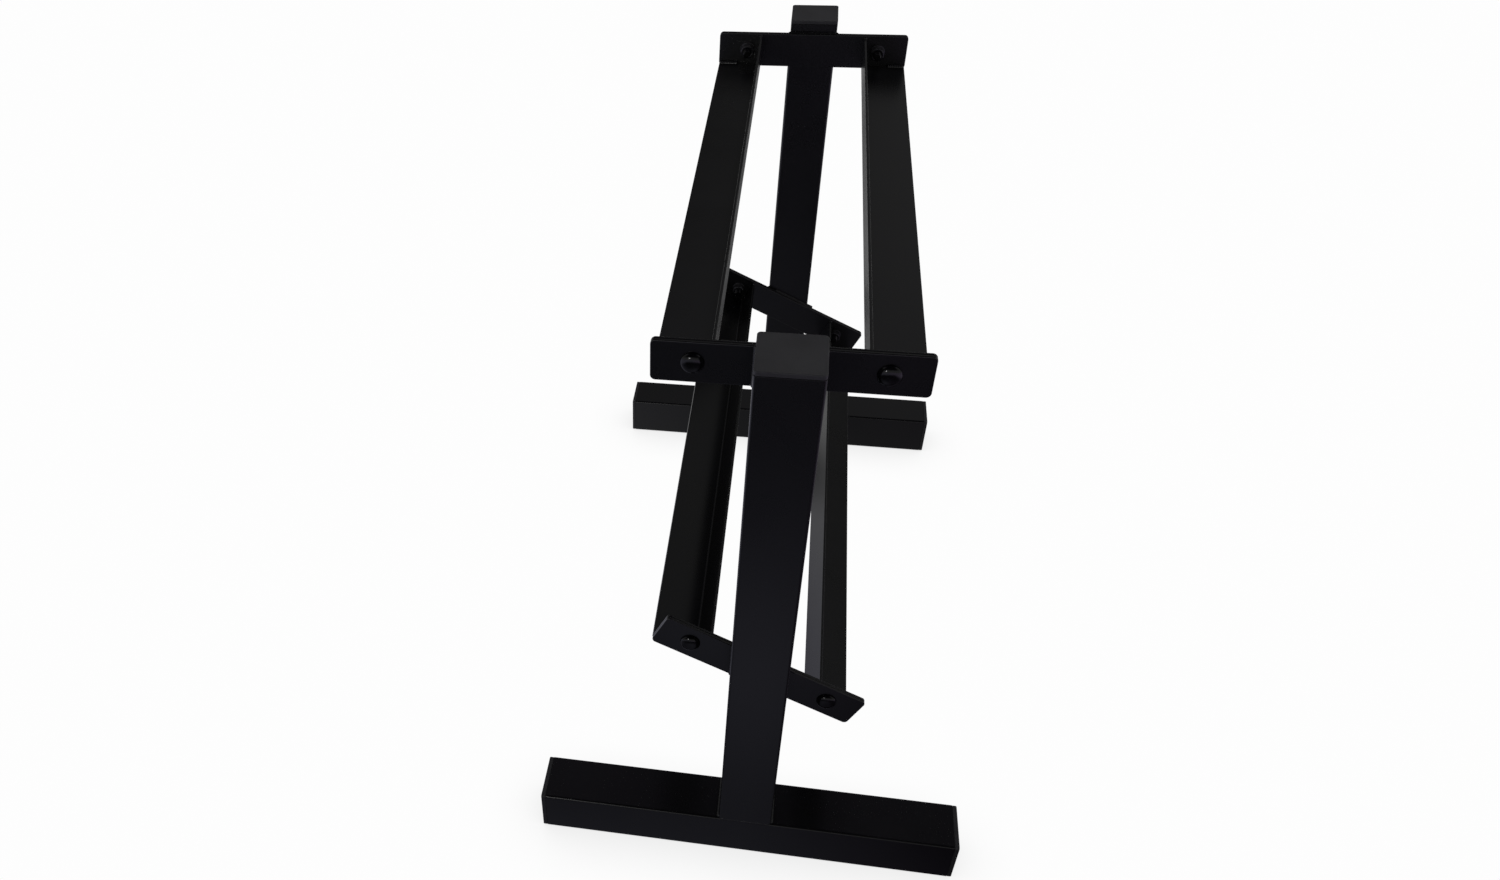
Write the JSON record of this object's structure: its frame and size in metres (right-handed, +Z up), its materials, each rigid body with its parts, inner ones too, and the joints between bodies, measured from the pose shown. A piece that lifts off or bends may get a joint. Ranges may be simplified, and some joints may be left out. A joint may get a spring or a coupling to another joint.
{
  "type": "two-tier dumbbell rack",
  "caption": "Two-tier steel dumbbell rack: square-tube end frames on feet, joined by a level upper and a sloped lower tray of L-section rails.",
  "frame": {"origin": "on the floor, at the centre of the footprint", "axes": "+X towards the user, the side the lower tray slopes down to; +Y along the rails, from the left end frame to the right one; +Z up"},
  "size_m": [0.404, 0.72, 0.575],
  "materials": {
    "powder_coat": "semi-gloss black powder coat on steel, very fine orange peel",
    "tube_cap": "moulded black polyethylene, satin with a faint texture",
    "black_fastener": "glossy black-coated steel bolt",
    "dark_zinc": "black zinc plating, dull sheen"
  },
  "bodies": {
    "root": {"left_foot_tube": "powder_coat", "left_post": "powder_coat", "left_foot_front_cap": "tube_cap", "left_foot_rear_cap": "tube_cap", "left_post_cap": "tube_cap", "right_foot_tube": "powder_coat", "right_post": "powder_coat", "right_foot_front_cap": "tube_cap", "right_foot_rear_cap": "tube_cap", "right_post_cap": "tube_cap", "upper_front_rail": "powder_coat", "upper_rear_rail": "powder_coat", "left_upper_bracket": "powder_coat", "upper_tray_left_plate": "powder_coat", "bolt_left_upper_front": "black_fastener", "washer_left_upper_front": "dark_zinc", "nut_left_upper_front": "dark_zinc", "bolt_left_upper_rear": "black_fastener", "washer_left_upper_rear": "dark_zinc", "nut_left_upper_rear": "dark_zinc", "right_upper_bracket": "powder_coat", "upper_tray_right_plate": "powder_coat", "bolt_right_upper_front": "black_fastener", "washer_right_upper_front": "dark_zinc", "nut_right_upper_front": "dark_zinc", "bolt_right_upper_rear": "black_fastener", "washer_right_upper_rear": "dark_zinc", "nut_right_upper_rear": "dark_zinc", "lower_front_rail": "powder_coat", "lower_rear_rail": "powder_coat", "left_lower_bracket": "powder_coat", "lower_tray_left_plate": "powder_coat", "bolt_left_lower_front": "black_fastener", "washer_left_lower_front": "dark_zinc", "nut_left_lower_front": "dark_zinc", "bolt_left_lower_rear": "black_fastener", "washer_left_lower_rear": "dark_zinc", "nut_left_lower_rear": "dark_zinc", "right_lower_bracket": "powder_coat", "lower_tray_right_plate": "powder_coat", "bolt_right_lower_front": "black_fastener", "washer_right_lower_front": "dark_zinc", "nut_right_lower_front": "dark_zinc", "bolt_right_lower_rear": "black_fastener", "washer_right_lower_rear": "dark_zinc", "nut_right_lower_rear": "dark_zinc"}
  },
  "joints": []
}
